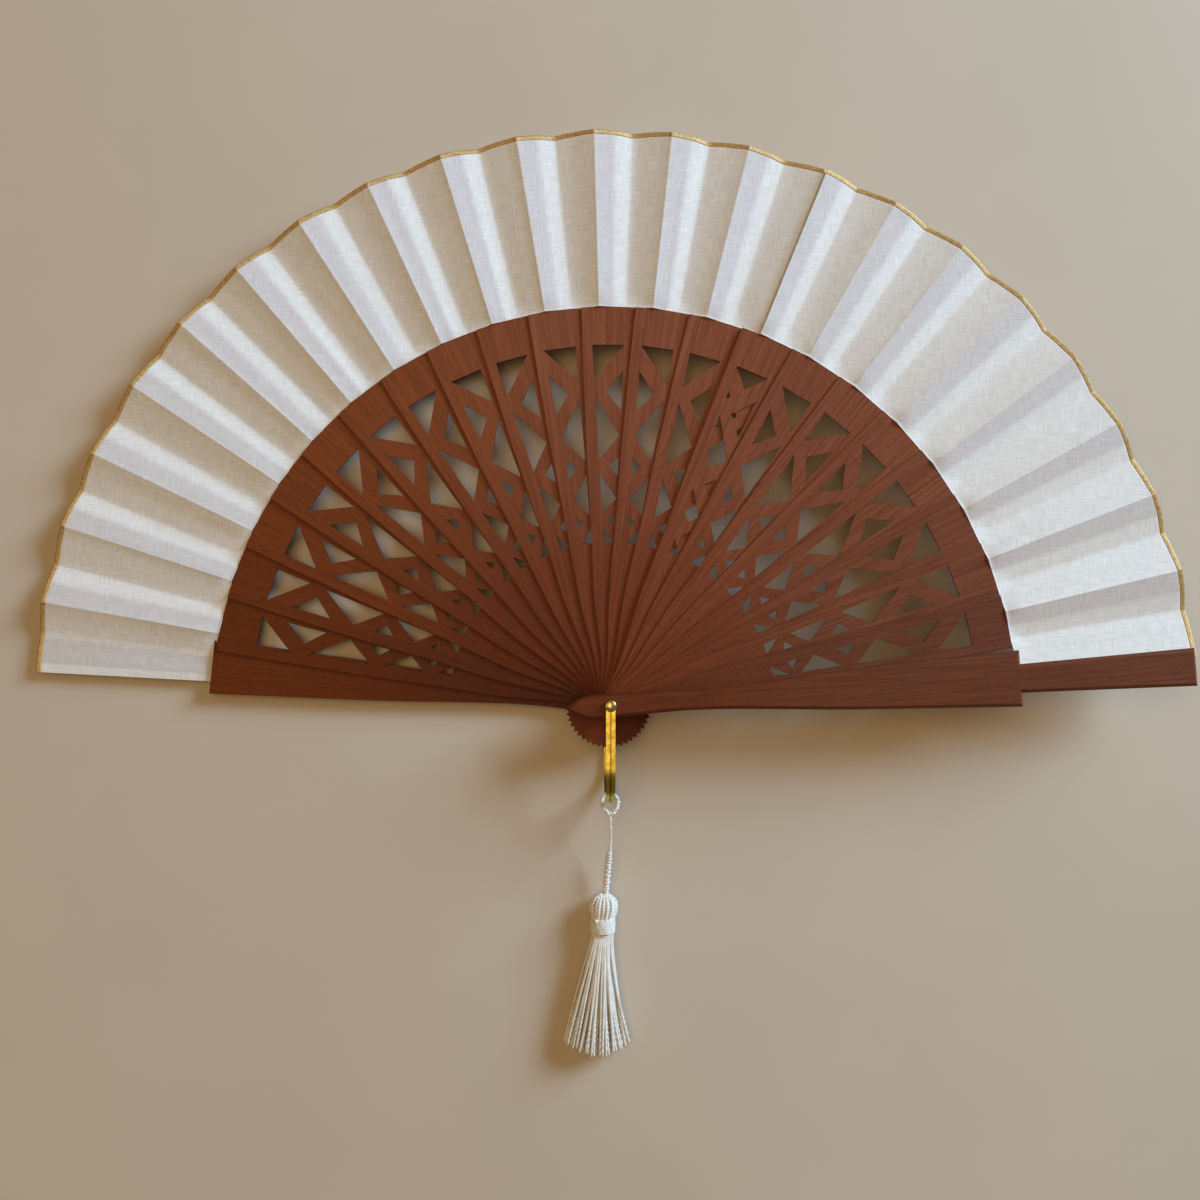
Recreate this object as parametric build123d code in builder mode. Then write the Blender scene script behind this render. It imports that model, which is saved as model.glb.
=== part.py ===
"""Folding hand fan: wooden ribs and guards on one rivet, a pleated cloth leaf, a brass shackle and a tassel.

The fan lies open on its back. The Z axis is the rivet's axis, with z = 0 on the back face of the rear
guard, and +Y points up through the middle of the open fan. Angles are counted from +X towards +Y.
Millimetres throughout.
"""

from build123d import *
from math import atan, cos, degrees, pi, radians, sin, sqrt, tan
import os

# The sticks: a rear guard, the ribs and a front guard, stacked on the rivet from back to front.
RIB_COUNT = 22
RIB_THICKNESS = 0.8
RIB_STEP = 0.85
GUARD_THICKNESS = 3.4
STACK_GAP = 0.05
HEAD_REACH = 16.4
HEAD_HALF_WIDTH = 4.4
HEAD_SIDE_X = -4.0
HEAD_BOW = (-11.8, 3.0)
RIB_TIP_RADIUS = 149.3
GUARD_SHOULDER = 150.5
GUARD_END = 215.4
GUARD_SLIM_THICKNESS = 1.5
GUARD_CHAMFER = 1.2

# How the sticks stand when the fan is open.
REAR_GUARD_ANGLE = 174.7
FIRST_RIB_ANGLE = 168.47
RIB_SPREAD = 7.83
SHUT_RIB = 15  # this rib lies straight on the one before it, with the pleat between them shut
FRONT_GUARD_ANGLE = 3.73

# The side of a stick: half its width at a distance along it.
RIB_SIDE = [(12, 2.9), (34, 5.0), (61, 6.45), (90, 8.0), (120, 9.2)]
RIB_TIP_HALF_WIDTH = 10.05
GUARD_SIDE = [(10, 3.95), (25, 3.5), (40, 3.85), (60, 5.2), (80, 6.7), (115, 8.55)]
SHOULDER_HALF_WIDTH = 10.3
SLIM_ROOT_HALF_WIDTH = 5.2
SLIM_END_HALF_WIDTH = 7.0

# The fretwork band in each rib.
FRET_INNER = 60.4
FRET_OUTER = 134.8
FRET_INNER_HALF_WIDTH = 1.9
FRET_OUTER_HALF_WIDTH = 6.1

# The openings that leave its zigzag standing. A corner is (radius, place across the band), where 1 is
# the band's left edge and -1 its right edge.
FRET_OPENINGS = [
    [(FRET_OUTER, 1), (FRET_OUTER, -1), (121.5, 1)],
    [(125.1, -1), (117.3, 0.22), (110.0, -1)],
    [(115.3, 1), (100.9, -1), (91.4, 1)],
    [(92.7, -1), (89.1, 0.03), (85.2, -1)],
    [(86.3, 1), (76.9, -1), (71.1, 1)],
    [(70.6, -1), (68.3, 0.17), (66.7, -1)],
    [(66.0, 1), (FRET_INNER, -1), (FRET_INNER, 1)],
]

# The thin slip that carries the leaf, beyond the tip of each rib.
SLIP_THICKNESS = 0.3
SLIP_WIDTH = 5.8
SLIP_ROOT_WIDTH = 1.5
SLIP_ROOT_RISE = 0.05
SLIP_FLARE_RADIUS = 150.6  # the slip is narrow up to here, past the front guard's shoulder
SLIP_FULL_RADIUS = 156.0
SLIP_END_RADIUS = 211.0
SLIP_ROOT_OVERLAP = 0.1
SLIP_UNDER_LEAF = 0.21  # from the underside of the leaf to the middle of the slip

# The pleated leaf. Its ridges and valleys run straight out from the rivet.
LEAF_INNER = 149.9
LEAF_INNER_AT_GUARDS = 151.0
LEAF_OUTER = 216.2
LEAF_RELIEF = 2.1  # half the height of a pleat at the outer edge
LEAF_THICKNESS = 0.2
FOLDED_THICKNESS = 0.3
RIDGE_OFFSET = 1.38  # degrees from a stick's middle to its ridge
VALLEY_OFFSET = -2.48  # and to its valley
REAR_HEM_OFFSET = 2.2
REAR_VALLEY_OFFSET = -1.8
FRONT_TUCK_ANGLE = 4.6
FOLD_CLEARANCE = 0.03  # degrees between one panel and the next

# The rivet and the shackle.
PIN_RADIUS = 1.2
PIN_HOLE_RADIUS = 1.25
RIVET_HEAD_RADIUS = 2.2
FRONT_HEAD_HEIGHT = 1.05
REAR_HEAD_HEIGHT = 0.9
DOME_SHOULDER = (0.7, 0.72)  # a point on a head's dome, in shares of its radius and height
SHACKLE_WIDTH = 3.4
SHACKLE_THICKNESS = 0.9
SHACKLE_DROP = 36.5
SHACKLE_EYE_RADIUS = 2.2
SHACKLE_GROOVE_WIDTH = 0.6
SHACKLE_GROOVE_DEPTH = 0.3
SHACKLE_GROOVE_START = -3.6

# The tassel and its cord.
CORD_DIAMETER = 1.3
LOOP_RADIUS = 2.85
CORNER_SHARE = 0.45  # how much of the shorter run each rounded corner takes
CORD_POINTS = [
    (0.0, -39.6, 12.8),
    (0.35, -45.4, 11.2),
    (0.4, -51.8, 8.7),
    (-0.1, -58.4, 6.3),
    (-0.8, -65.2, 4.4),
    (-1.3, -72.15, 3.9),
]
TASSEL_START = (-1.9, -72.2, 3.9)
TASSEL_LEAN = -2.1  # degrees from -Y towards -X
TASSEL_HEAD_LENGTH = 8.6
HEAD_OUTLINE = [(0, 1.9), (1.6, 4.1), (4.2, 5.2), (TASSEL_HEAD_LENGTH, 4.4)]  # (distance, radius)
BINDING_RADIUS = 4.6
BINDING_LENGTH = 5.9
SKIRT_LENGTH = 45.3
SKIRT_TOP_RADIUS = 4.4
SKIRT_TOP_HALF_HEIGHT = 4.3
SKIRT_HALF_WIDTH = 12.6
SKIRT_HALF_HEIGHT = 3.1
SKIRT_SINK = 2.6  # how much lower the skirt's end lies than its top
TASSEL_GAP = 0.05

# Worked out from the sizes above.
STACK_TOP = 2 * GUARD_THICKNESS + STACK_GAP + RIB_COUNT * RIB_STEP
SHACKLE_MID_Z = STACK_TOP / 2
SHACKLE_BEND_RADIUS = STACK_TOP / 2 + STACK_GAP + SHACKLE_THICKNESS
SHACKLE_BEND_Y = SHACKLE_BEND_RADIUS - SHACKLE_DROP
PLEAT_SLOPE = (
    2 * LEAF_RELIEF / (LEAF_OUTER * (tan(radians(RIDGE_OFFSET)) - tan(radians(VALLEY_OFFSET))))
)

os.makedirs("parts", exist_ok=True)


def rib_angle(number):
    """The angle of a rib, counted from 1, in the open fan."""
    spread_gaps = number - 1 if number < SHUT_RIB else number - 2
    return FIRST_RIB_ANGLE - RIB_SPREAD * spread_gaps


def rib_base(number):
    """The height of a rib's back face."""
    return GUARD_THICKNESS + STACK_GAP + RIB_STEP * (number - 1)


def rib_middle(number):
    return rib_base(number) + RIB_THICKNESS / 2


def outward(angle):
    """The direction of a stick."""
    return (cos(radians(angle)), sin(radians(angle)), 0)


def stick_plane(angle, height):
    """A level plane with its X axis along a stick."""
    return Plane(origin=(0, 0, height), x_dir=outward(angle), z_dir=(0, 0, 1))


def cross_plane(angle, distance):
    """A plane square to a stick: X to its left, Y up."""
    x, y, _ = outward(angle)
    return Plane(origin=(distance * x, distance * y, 0), x_dir=(-y, x, 0), z_dir=(x, y, 0))


def pleat_height(radius):
    """Half the height of a pleat at a radius."""
    return LEAF_RELIEF * radius / LEAF_OUTER


def draw_stick_sides(side, end):
    """Draws the rounded head and the two long sides of a stick, up to its end corners."""
    last_x, last_half = side[-1]
    for sign in (1, -1):
        head_side = (HEAD_SIDE_X, sign * HEAD_HALF_WIDTH)
        head = ThreePointArc((-HEAD_REACH, 0), (HEAD_BOW[0], sign * HEAD_BOW[1]), head_side)
        along_side = [(x, sign * half) for x, half in side]
        end_direction = (end[0] - last_x, sign * (end[1] - last_half))
        Spline(
            head_side,
            *along_side,
            (end[0], sign * end[1]),
            tangents=(head % 1, end_direction),
        )


def fret_half_width(radius):
    share = (radius - FRET_INNER) / (FRET_OUTER - FRET_INNER)
    return FRET_INNER_HALF_WIDTH + share * (FRET_OUTER_HALF_WIDTH - FRET_INNER_HALF_WIDTH)


def fret_corners(opening, side):
    """The corners of one opening of a rib's fretwork. side is 1 or -1, and mirrors it."""
    return [(radius, side * place * fret_half_width(radius)) for radius, place in opening]


def slip_section(number, radius, width, sits_under_leaf):
    """One cross-section of a rib's slip, tilted with the pleat that it carries."""
    leaf_rise = pleat_height(radius) - PLEAT_SLOPE * radius * tan(radians(RIDGE_OFFSET))
    rise = leaf_rise - SLIP_UNDER_LEAF if sits_under_leaf else SLIP_ROOT_RISE
    with BuildSketch(cross_plane(rib_angle(number), radius)) as section:
        with Locations((0, rib_middle(number) + rise)):
            Rectangle(width, SLIP_THICKNESS, rotation=degrees(atan(PLEAT_SLOPE)))
    return section.sketch


def make_rib(number):
    """A rib: a flat blade with fretwork, ending in the thin slip behind the leaf."""
    tip_x = sqrt(RIB_TIP_RADIUS**2 - RIB_TIP_HALF_WIDTH**2)
    with BuildPart() as rib:
        with BuildSketch(stick_plane(rib_angle(number), rib_base(number))):
            with BuildLine():
                draw_stick_sides(RIB_SIDE, (tip_x, RIB_TIP_HALF_WIDTH))
                ThreePointArc(
                    (tip_x, RIB_TIP_HALF_WIDTH),
                    (RIB_TIP_RADIUS, 0),
                    (tip_x, -RIB_TIP_HALF_WIDTH),
                )
            make_face()
            for opening in FRET_OPENINGS:
                corners = fret_corners(opening, 1 if number % 2 else -1)
                Polygon(*corners, align=None, mode=Mode.SUBTRACT)
            Circle(PIN_HOLE_RADIUS, mode=Mode.SUBTRACT)
        extrude(amount=RIB_THICKNESS)
        loft(
            [
                slip_section(number, RIB_TIP_RADIUS - SLIP_ROOT_OVERLAP, SLIP_ROOT_WIDTH, False),
                slip_section(number, SLIP_FLARE_RADIUS, SLIP_ROOT_WIDTH, False),
                slip_section(number, SLIP_FULL_RADIUS, SLIP_WIDTH, True),
                slip_section(number, SLIP_END_RADIUS, SLIP_WIDTH, True),
            ],
            ruled=True,
        )
    return rib


def make_guard(angle, outer_face_up):
    """A guard: thick and as wide as a rib up to its shoulder, then slim along the leaf."""
    base = STACK_TOP - GUARD_THICKNESS if outer_face_up else 0
    slim_base = STACK_TOP - GUARD_SLIM_THICKNESS if outer_face_up else 0
    outer_end = -1 if outer_face_up else 0
    shoulder = (GUARD_SHOULDER, SHOULDER_HALF_WIDTH)
    with BuildPart() as guard:
        with BuildSketch(stick_plane(angle, base)):
            with BuildLine():
                draw_stick_sides(GUARD_SIDE, shoulder)
                Line(shoulder, (GUARD_SHOULDER, -SHOULDER_HALF_WIDTH))
            make_face()
        extrude(amount=GUARD_THICKNESS)
        with BuildSketch(stick_plane(angle, slim_base)):
            Polygon(
                (GUARD_SHOULDER - 1, SLIM_ROOT_HALF_WIDTH),
                (GUARD_END, SLIM_END_HALF_WIDTH),
                (GUARD_END, -SLIM_END_HALF_WIDTH),
                (GUARD_SHOULDER - 1, -SLIM_ROOT_HALF_WIDTH),
                align=None,
            )
        extrude(amount=GUARD_SLIM_THICKNESS)
        outer_face = guard.faces().filter_by(Axis.Z).group_by(Axis.Z)[outer_end]
        chamfer(outer_face.edges(), length=GUARD_CHAMFER)
        with BuildSketch(stick_plane(angle, base)):
            Circle(PIN_HOLE_RADIUS)
        extrude(amount=GUARD_THICKNESS, mode=Mode.SUBTRACT)
    return guard


def leaf_section(radius, folds, thickness):
    """The cloth's section at a radius. Each fold is (angle, height), from left to right."""
    middle = (folds[0][0] + folds[-1][0]) / 2
    half_span = radians((folds[0][0] - folds[-1][0]) / 2)
    distance = radius * cos(half_span)
    line = [(distance * tan(radians(angle - middle)), height) for angle, height in folds]
    top = [(across, height + thickness) for across, height in reversed(line)]
    with BuildSketch(cross_plane(middle, distance)) as section:
        Polygon(*line, *top, align=None)
    return section.sketch


def make_leaf_panel(inner, folds_at, thickness=LEAF_THICKNESS):
    """One pleat of the leaf. folds_at(radius) gives its folds at that radius."""
    with BuildPart() as panel:
        loft(
            [
                leaf_section(inner, folds_at(inner), thickness),
                leaf_section(LEAF_OUTER, folds_at(LEAF_OUTER), thickness),
            ],
            ruled=True,
        )
    return panel


def ridge(number, radius, trim):
    """A rib's ridge, with trim degrees taken off for clearance."""
    return (rib_angle(number) + RIDGE_OFFSET + trim, rib_middle(number) + pleat_height(radius))


def valley(number, radius):
    return (rib_angle(number) + VALLEY_OFFSET, rib_middle(number) - pleat_height(radius))


def full_pleat(number):
    """The folds of the pleat between a rib and the next one."""

    def folds_at(radius):
        return [
            ridge(number, radius, -FOLD_CLEARANCE),
            valley(number, radius),
            ridge(number + 1, radius, FOLD_CLEARANCE),
        ]

    return folds_at


def shut_pleat(number):
    """The shut pleat: its two halves lie flat on each other, so it is one double layer."""

    def folds_at(radius):
        return [ridge(number, radius, -FOLD_CLEARANCE), valley(number, radius)]

    return folds_at


def rear_pleat(radius):
    """The pleat between the rear guard and the first rib."""
    glued = GUARD_SLIM_THICKNESS + STACK_GAP
    return [
        (REAR_GUARD_ANGLE + REAR_HEM_OFFSET, glued),
        (REAR_GUARD_ANGLE + REAR_VALLEY_OFFSET, glued),
        ridge(1, radius, FOLD_CLEARANCE),
    ]


def front_pleat(radius):
    """The pleat between the last rib and the underside of the front guard's slim part."""
    glued = STACK_TOP - GUARD_SLIM_THICKNESS - STACK_GAP - LEAF_THICKNESS
    return [
        ridge(RIB_COUNT, radius, -FOLD_CLEARANCE),
        valley(RIB_COUNT, radius),
        (FRONT_TUCK_ANGLE, glued),
    ]


# The guards and the ribs.
rear_guard = make_guard(REAR_GUARD_ANGLE, outer_face_up=False)
rear_guard.part.label = "rear_guard"
export_step(rear_guard.part, "parts/rear_guard.step")

for number in range(1, RIB_COUNT + 1):
    rib = make_rib(number)
    rib.part.label = f"rib_{number:02d}"
    export_step(rib.part, f"parts/rib_{number:02d}.step")

front_guard = make_guard(FRONT_GUARD_ANGLE, outer_face_up=True)
front_guard.part.label = "front_guard"
export_step(front_guard.part, "parts/front_guard.step")

# The leaf, one panel for each gap between two sticks. leaf_01 starts on the rear guard.
for gap in range(1, RIB_COUNT + 2):
    before = gap - 1
    if before == 0:
        leaf = make_leaf_panel(LEAF_INNER_AT_GUARDS, rear_pleat)
    elif before == RIB_COUNT:
        leaf = make_leaf_panel(LEAF_INNER_AT_GUARDS, front_pleat)
    elif gap == SHUT_RIB:
        leaf = make_leaf_panel(LEAF_INNER, shut_pleat(before), FOLDED_THICKNESS)
    else:
        leaf = make_leaf_panel(LEAF_INNER, full_pleat(before))
    leaf.part.label = f"leaf_{gap:02d}"
    export_step(leaf.part, f"parts/leaf_{gap:02d}.step")

# The rivet: a plain pin with a domed head at each end, outside the shackle's two eyes.
leg_reach = STACK_GAP + SHACKLE_THICKNESS
pin_bottom = -leg_reach - STACK_GAP
pin_top = STACK_TOP + leg_reach + STACK_GAP
with BuildPart() as pivot_rivet:
    with BuildSketch(Plane.XZ):
        with BuildLine():
            Line((0, pin_bottom - REAR_HEAD_HEIGHT), (0, pin_top + FRONT_HEAD_HEIGHT))
            Spline(
                (0, pin_top + FRONT_HEAD_HEIGHT),
                (RIVET_HEAD_RADIUS * DOME_SHOULDER[0], pin_top + FRONT_HEAD_HEIGHT * DOME_SHOULDER[1]),
                (RIVET_HEAD_RADIUS, pin_top),
                tangents=((1, 0), (0, -1)),
            )
            Polyline(
                (RIVET_HEAD_RADIUS, pin_top),
                (PIN_RADIUS, pin_top),
                (PIN_RADIUS, pin_bottom),
                (RIVET_HEAD_RADIUS, pin_bottom),
            )
            Spline(
                (RIVET_HEAD_RADIUS, pin_bottom),
                (RIVET_HEAD_RADIUS * DOME_SHOULDER[0], pin_bottom - REAR_HEAD_HEIGHT * DOME_SHOULDER[1]),
                (0, pin_bottom - REAR_HEAD_HEIGHT),
                tangents=((0, -1), (-1, 0)),
            )
        make_face()
    revolve(axis=Axis.Z)
pivot_rivet.part.label = "pivot_rivet"
export_step(pivot_rivet.part, "parts/pivot_rivet.step")


def draw_bent_strip(outer_radius, inner_radius, leg_end):
    """Draws the side view of a strip bent to a U, with its legs ending at Y = leg_end."""
    for radius in (outer_radius, inner_radius):
        low = (SHACKLE_BEND_Y, SHACKLE_MID_Z - radius)
        high = (SHACKLE_BEND_Y, SHACKLE_MID_Z + radius)
        Line((leg_end, low[1]), low)
        ThreePointArc(low, (SHACKLE_BEND_Y - radius, SHACKLE_MID_Z), high)
        Line(high, (leg_end, high[1]))
    for sign in (1, -1):
        Line(
            (leg_end, SHACKLE_MID_Z + sign * outer_radius),
            (leg_end, SHACKLE_MID_Z + sign * inner_radius),
        )


# The shackle: a brass strip bent to a U, with an eye at each end and a groove along its outside.
strip_inner = SHACKLE_BEND_RADIUS - SHACKLE_THICKNESS
groove_floor = SHACKLE_BEND_RADIUS - SHACKLE_GROOVE_DEPTH
with BuildPart() as shackle:
    with BuildSketch(Plane.YZ):
        with BuildLine():
            draw_bent_strip(SHACKLE_BEND_RADIUS, strip_inner, 0)
        make_face()
    extrude(amount=SHACKLE_WIDTH / 2, both=True)
    for eye_base in (SHACKLE_MID_Z - SHACKLE_BEND_RADIUS, SHACKLE_MID_Z + strip_inner):
        with BuildSketch(Plane.XY.offset(eye_base)):
            Circle(SHACKLE_EYE_RADIUS)
        extrude(amount=SHACKLE_THICKNESS)
    with BuildSketch(Plane.YZ):
        with BuildLine():
            draw_bent_strip(SHACKLE_BEND_RADIUS, groove_floor, SHACKLE_GROOVE_START)
        make_face()
    extrude(amount=SHACKLE_GROOVE_WIDTH / 2, both=True, mode=Mode.SUBTRACT)
    with BuildSketch(Plane.XY.offset(SHACKLE_MID_Z - SHACKLE_BEND_RADIUS)):
        Circle(PIN_HOLE_RADIUS)
    extrude(amount=2 * SHACKLE_BEND_RADIUS, mode=Mode.SUBTRACT)
shackle.part.label = "shackle"
export_step(shackle.part, "parts/shackle.step")

# The cord's loop round the shackle's bend: a ring that can swing on the strip.
loop_centre = (0, -SHACKLE_DROP + SHACKLE_THICKNESS / 2, SHACKLE_MID_Z)
with BuildPart() as tassel_loop:
    with Locations(loop_centre):
        Torus(LOOP_RADIUS, CORD_DIAMETER / 2)
tassel_loop.part.label = "tassel_loop"
export_step(tassel_loop.part, "parts/tassel_loop.step")


def corner_radii(points):
    """The largest radius that fits each corner of a cord's route."""
    radii = []
    for before, corner, after in zip(points, points[1:], points[2:]):
        run_in = Vector(*corner) - Vector(*before)
        run_out = Vector(*after) - Vector(*corner)
        half_turn = radians(run_in.get_angle(run_out)) / 2
        radii.append(CORNER_SHARE * min(run_in.length, run_out.length) / tan(half_turn))
    return radii


# The cord from its loop to the tassel's head.
cord_radii = corner_radii(CORD_POINTS)
with BuildPart() as tassel_cord:
    with BuildLine() as cord_route:
        FilletPolyline(*CORD_POINTS, radius=cord_radii)
    cord_path = cord_route.wires()[0]
    with BuildSketch(Plane(origin=cord_path @ 0, z_dir=cord_path % 0)):
        Circle(CORD_DIAMETER / 2)
    sweep(path=cord_path)
tassel_cord.part.label = "tassel_cord"
export_step(tassel_cord.part, "parts/tassel_cord.step")
cord_volume = pi * (CORD_DIAMETER / 2) ** 2 * cord_path.length
print("cord length", round(cord_path.length, 2), "radii", [round(r, 1) for r in cord_radii])
print("cord volume share", round(tassel_cord.part.volume / cord_volume, 4))

# The tassel lies along its own line, from the head to the end of the skirt.
lean = radians(TASSEL_LEAN)
tassel_line = Vector(sin(lean), -cos(lean), 0)
tassel_side = Vector(cos(lean), sin(lean), 0)
binding_start = TASSEL_HEAD_LENGTH + TASSEL_GAP
skirt_start = binding_start + BINDING_LENGTH + TASSEL_GAP


def tassel_plane(distance, sink=0.0):
    """A plane square to the tassel's line, with X to its side."""
    place = Vector(*TASSEL_START) + tassel_line * distance - Vector(0, 0, sink)
    return Plane(origin=place, x_dir=tassel_side, z_dir=tassel_line)


# The head: a ball of wound thread, flat where the cord and the binding meet it.
with BuildPart() as tassel_head:
    with BuildSketch(Plane(origin=TASSEL_START, x_dir=tassel_line, z_dir=(0, 0, 1))):
        with BuildLine():
            Spline(*HEAD_OUTLINE)
            Polyline(HEAD_OUTLINE[-1], (TASSEL_HEAD_LENGTH, 0), (0, 0), HEAD_OUTLINE[0])
        make_face()
    revolve(axis=Axis(TASSEL_START, tassel_line))
tassel_head.part.label = "tassel_head"
export_step(tassel_head.part, "parts/tassel_head.step")

with BuildPart() as tassel_binding:
    with BuildSketch(tassel_plane(binding_start)):
        Circle(BINDING_RADIUS)
    extrude(amount=BINDING_LENGTH)
tassel_binding.part.label = "tassel_binding"
export_step(tassel_binding.part, "parts/tassel_binding.step")

with BuildPart() as tassel_skirt:
    with BuildSketch(tassel_plane(skirt_start)) as skirt_top:
        Ellipse(SKIRT_TOP_RADIUS, SKIRT_TOP_HALF_HEIGHT)
    with BuildSketch(tassel_plane(skirt_start + SKIRT_LENGTH, SKIRT_SINK)) as skirt_end:
        Ellipse(SKIRT_HALF_WIDTH, SKIRT_HALF_HEIGHT)
    loft(ruled=True)
tassel_skirt.part.label = "tassel_skirt"
export_step(tassel_skirt.part, "parts/tassel_skirt.step")
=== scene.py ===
import math
import random

import bpy
from mathutils import Matrix, Vector, noise


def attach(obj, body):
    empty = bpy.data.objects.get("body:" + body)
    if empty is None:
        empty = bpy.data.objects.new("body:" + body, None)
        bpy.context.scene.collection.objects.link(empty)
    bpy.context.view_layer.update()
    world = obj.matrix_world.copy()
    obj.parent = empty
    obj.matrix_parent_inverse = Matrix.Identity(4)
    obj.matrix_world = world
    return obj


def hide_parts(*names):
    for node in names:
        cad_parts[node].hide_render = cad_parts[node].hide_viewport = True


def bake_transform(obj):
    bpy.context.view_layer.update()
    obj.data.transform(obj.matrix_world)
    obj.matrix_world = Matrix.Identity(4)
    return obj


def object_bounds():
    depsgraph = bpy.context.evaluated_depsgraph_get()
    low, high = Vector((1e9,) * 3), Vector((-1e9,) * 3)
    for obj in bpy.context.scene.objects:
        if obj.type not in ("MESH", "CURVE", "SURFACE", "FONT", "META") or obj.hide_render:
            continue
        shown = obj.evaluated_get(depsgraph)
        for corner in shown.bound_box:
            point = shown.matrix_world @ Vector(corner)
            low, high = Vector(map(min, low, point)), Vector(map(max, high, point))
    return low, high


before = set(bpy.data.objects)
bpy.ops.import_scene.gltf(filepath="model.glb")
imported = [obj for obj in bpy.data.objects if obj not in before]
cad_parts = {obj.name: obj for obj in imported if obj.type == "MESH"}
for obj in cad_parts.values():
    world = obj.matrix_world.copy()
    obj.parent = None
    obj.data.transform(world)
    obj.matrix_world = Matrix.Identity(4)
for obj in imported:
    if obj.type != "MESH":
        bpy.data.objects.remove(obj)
cad_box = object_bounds()

# Lengths are in metres and angles in degrees, counted from +X towards +Y, as in the CAD model.
# The fan lies on its back with its rivet over the origin, and is open towards +Y.
MM = 0.001
Z_AXIS = Vector((0, 0, 1))

# The sticks.
RIB_COUNT = 22
RIB_MIDDLE = 3.85 * MM  # the first rib's middle height
RIB_STEP = 0.85 * MM
REAR_GUARD_ANGLE = 174.7
FIRST_RIB_ANGLE = 168.47
RIB_SPREAD = 7.83
SHUT_RIB = 15  # it lies exactly on the rib before it, with the pleat between them shut
FRONT_GUARD_ANGLE = 3.73
# Painted light: the ribs' wood is lightest at this rib and darkens away from it, as if the light fell
# strongest on the middle of the fan.
PAINTED_LIGHT_RIB = 12
GOLDEN_RIBS = 9  # the first ribs, whose wood is more golden

# The leaf. A ridge and a valley lie at these offsets in degrees from their rib's middle line.
LEAF_INNER = 149.35 * MM
LEAF_INNER_AT_GUARDS = 150.6 * MM
LEAF_OUTER = 216.2 * MM
LEAF_RELIEF = 2.1 * MM  # half a pleat's height at the outer edge
ROOT_RELIEF = 0.45  # the share of it that is left where the leaf is glued to the ribs' ends
ROOT_LENGTH = 5 * MM
RIDGE_OFFSET = 1.38
SHUT_RIDGE_OFFSET = 1.14
VALLEY_OFFSET = -2.48
VALLEY_SOFTNESS = 0.6 * MM  # how far a valley's soft bend reaches from its line
CREASE_LIFT = 0.1 * MM  # a ridge's crease stands a little proud
CREASE_WIDTH = 0.4 * MM
PLEAT_SAG = 0.3 * MM  # a pleat's back half hangs a little between its folds
SCALLOP = 0.4 * MM  # the outer edge bulges between two folds
EDGE_CURL = 0.3 * MM  # the raw inner edge curls up a little
EDGE_CURL_SHARE = 0.014
RIPPLE = 0.1 * MM  # the cloth's waviness, and its streaks along the pleats
STREAK = 0.22 * MM
PRESSED_RIPPLE = 0.3  # the share of the ripple that is left in the shut pleat
REAR_HEM_ANGLES = (176.9, 172.9)
REAR_HEM_HEIGHT = 1.6 * MM
REAR_HEM_MARGIN = 0.27  # the hem's share that sticks out beyond the guard's slim part
REAR_HEM_BACKED = 0.7  # the share that lies on it
FRONT_TUCK_ANGLE = 4.6
FRONT_TUCK_HEIGHT = 23.8 * MM
CLOTH_THICKNESS = 0.2 * MM
SHUT_LOWER_LIFT = -0.1 * MM  # the shut pleat's two halves, one over the other
SHUT_UPPER_LIFT = 0.05 * MM
SLIP_SHARE = 0.57  # of a pleat's front half, from its ridge, with the rib's slip behind it
SLIP_LIFT = 0.3 * MM  # the slip holds that part up, so the cloth is steeper beyond it
OFF_SLIP = 9.0  # a place across the slip that is far from it
BINDING_WIDTH = 1.6 * MM
BINDING_OVERHANG = 0.002  # the share of the leaf's length that it reaches past the cloth
BINDING_LIFTS = (0.05 * MM, 0.23 * MM)  # its under and upper side, above the cloth's under side

# Where a facet has its points, as shares of its width, and a panel and its gold edge their rows, as
# shares of the leaf's length.
FACET_STEPS = (0, 0.02, 0.05, 0.1, 0.18, 0.28, 0.4, 0.5, 0.6, 0.72, 0.82, 0.9, 0.95, 0.98, 1)
FACET_CELLS = len(FACET_STEPS) - 1
CURL_ROWS = (0, 0.004, 0.008, 0.013, 0.02)
PLAIN_START = 0.035
PLAIN_CELLS = 29
PLAIN_ROWS = tuple(PLAIN_START + (1 - PLAIN_START) * i / PLAIN_CELLS for i in range(PLAIN_CELLS + 1))
PANEL_ROWS = CURL_ROWS + PLAIN_ROWS
EDGE_SHARE = BINDING_WIDTH / (LEAF_OUTER - LEAF_INNER) + BINDING_OVERHANG
EDGE_CELLS = 4
EDGE_START = 1 + BINDING_OVERHANG - EDGE_SHARE
EDGE_ROWS = tuple(EDGE_START + EDGE_SHARE * i / EDGE_CELLS for i in range(EDGE_CELLS + 1))

# The cord's route, from the loop to the tassel's head, as in the CAD model.
CORD_POINTS = [
    (0.0, -0.0396, 0.0128),
    (0.00035, -0.0454, 0.0112),
    (0.0004, -0.0518, 0.0087),
    (-0.0001, -0.0584, 0.0063),
    (-0.0008, -0.0652, 0.0044),
    (-0.0013, -0.07215, 0.0039),
]

# The loop goes round the shackle's bend, and is drawn out to a point where the cord starts.
LOOP_POINTS = [
    (0.0002, -0.0409, 0.0125),
    (-0.0016, -0.0396, 0.0127),
    (-0.0029, -0.0374, 0.0129),
    (-0.0028, -0.0348, 0.0128),
    (-0.0012, -0.0333, 0.0127),
    (0.0012, -0.0333, 0.0127),
    (0.0030, -0.0347, 0.0128),
    (0.0032, -0.0373, 0.0129),
    (0.0020, -0.0397, 0.0127),
    (0.0002, -0.0411, 0.0124),
]

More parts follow.
